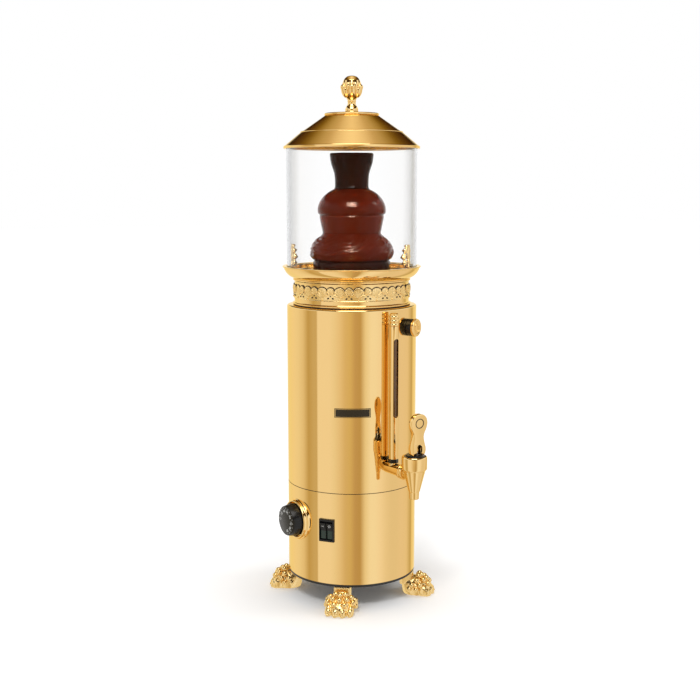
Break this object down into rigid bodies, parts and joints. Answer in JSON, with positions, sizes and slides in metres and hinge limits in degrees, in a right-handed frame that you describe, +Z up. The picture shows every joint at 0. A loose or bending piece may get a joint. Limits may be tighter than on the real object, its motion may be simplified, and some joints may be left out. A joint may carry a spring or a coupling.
{
  "type": "hot chocolate dispenser with fountain",
  "caption": "Column hot chocolate dispenser on lion-paw feet with a chocolate fountain under a glass cylinder and lid, a side tap, a level gauge, a thermostat knob and a rocker switch.",
  "frame": {"origin": "on the floor plane under the axis of the column", "axes": "+Z up along the column axis, -Y towards the tap and the level gauge, +X to the right of someone who faces the tap"},
  "size_m": [0.2198, 0.2832, 0.763],
  "materials": {
    "gold_plate": "polished gold plate",
    "steel": "satin",
    "black_plate": "satin black",
    "black_plastic": "matt",
    "rocker": "glossy",
    "rubber": "matt",
    "clear_glass": "clear",
    "gauge_glass": "clear, filled with chocolate",
    "chocolate": "glossy, coated with chocolate",
    "motor_paint": "painted",
    "food_plastic": "satin"
  },
  "bodies": {
    "machine": {"base_plate": "black_plate", "foot_front_left": "gold_plate", "foot_front_right": "gold_plate", "foot_rear_right": "gold_plate", "foot_rear_left": "gold_plate", "foot_screws": "steel", "base_shell": "gold_plate", "bulkhead": "steel", "upper_casing": "gold_plate", "label_plate": "black_plate", "collar_seal": "rubber", "neck_collar": "gold_plate", "ornament_band": "gold_plate", "fountain_tray": "gold_plate", "glass_gasket": "rubber", "leaf_clips": "gold_plate", "clip_screws": "black_plate", "shaft_seal": "rubber", "gearmotor": "motor_paint", "motor_mount": "steel", "water_jacket": "steel", "chocolate_tank": "steel", "tank_gasket": "rubber", "heater_element": "steel", "thermostat_bezel": "gold_plate", "thermostat_body": "black_plastic", "switch_housing": "black_plastic", "cable_gland": "black_plastic", "tap_shank": "gold_plate", "shank_nut": "steel", "union_nut": "gold_plate", "tap_body": "gold_plate", "tap_spring": "steel", "tap_bonnet": "black_plastic", "gauge_tube": "gold_plate", "gauge_glass": "gauge_glass", "gauge_foot_nut": "black_plastic", "filler_neck": "gold_plate", "filler_washer": "black_plastic"},
    "glass": {"glass_cylinder": "clear_glass"},
    "lid": {"lid": "gold_plate", "lid_top_plate": "gold_plate", "finial": "gold_plate", "finial_nut": "steel"},
    "fountain": {"fountain_base": "chocolate", "fountain_lower_tier": "chocolate", "fountain_middle_tier": "chocolate", "fountain_crown": "chocolate", "riser_tube": "steel"},
    "drive": {"stirrer_shaft": "steel", "auger": "food_plastic"},
    "thermostat": {"thermostat_knob": "black_plastic"},
    "rocker_left": {"rocker_left": "rocker"},
    "rocker_right": {"rocker_right": "rocker"},
    "stem": {"tap_stem": "black_plastic", "seat_cup": "rubber"},
    "lever": {"tap_lever": "gold_plate", "lever_pin": "steel"},
    "gauge_cap": {"gauge_cap": "gold_plate"},
    "filler_cap": {"filler_cap": "gold_plate"}
  },
  "joints": [
    {"name": "glass_lift", "type": "slide", "parent": "machine", "child": "glass", "axis": [0, 0, 1], "range_m": [0, 0.18]},
    {"name": "lid_lift", "type": "slide", "parent": "glass", "child": "lid", "axis": [0, 0, 1], "range_m": [0, 0.12]},
    {"name": "fountain_lift", "type": "slide", "parent": "machine", "child": "fountain", "axis": [0, 0, 1], "range_m": [0, 0.04]},
    {"name": "drive_turn", "type": "hinge", "parent": "machine", "child": "drive", "pos_m": [0, 0, 0.2], "axis": [0, 0, 1], "continuous": true},
    {"name": "thermostat_turn", "type": "hinge", "parent": "machine", "child": "thermostat", "pos_m": [-0.1, 0, 0.125], "axis": [-1, 0, 0], "range_deg": [0, 270]},
    {"name": "rocker_left_tip", "type": "hinge", "parent": "machine", "child": "rocker_left", "pos_m": [-0.0798, -0.04898, 0.1185], "axis": [-0.5678, 0.8231, 0], "range_deg": [0, 16]},
    {"name": "rocker_right_tip", "type": "hinge", "parent": "machine", "child": "rocker_right", "pos_m": [-0.07412, -0.05721, 0.1185], "axis": [-0.5678, 0.8231, 0], "range_deg": [0, 16]},
    {"name": "stem_lift", "type": "slide", "parent": "machine", "child": "stem", "axis": [0, 0, 1], "range_m": [0, 0.0043], "deforming": ["tap_spring"]},
    {"name": "lever_tip", "type": "hinge", "parent": "stem", "child": "lever", "pos_m": [0, -0.157, 0.251], "axis": [1, 0, 0], "range_deg": [0, 40], "stiffness_Nm_per_rad": 0.12, "springref_deg": -22.92},
    {"name": "gauge_cap_lift", "type": "slide", "parent": "machine", "child": "gauge_cap", "axis": [0, 0, 1], "range_m": [0, 0.03]},
    {"name": "filler_cap_pull", "type": "slide", "parent": "machine", "child": "filler_cap", "axis": [0.4163, -0.9092, 0], "range_m": [0, 0.03]}
  ],
  "couplings": [
    {"joint": "stem_lift", "follows": "lever_tip", "m_per_rad": 0.006}
  ]
}
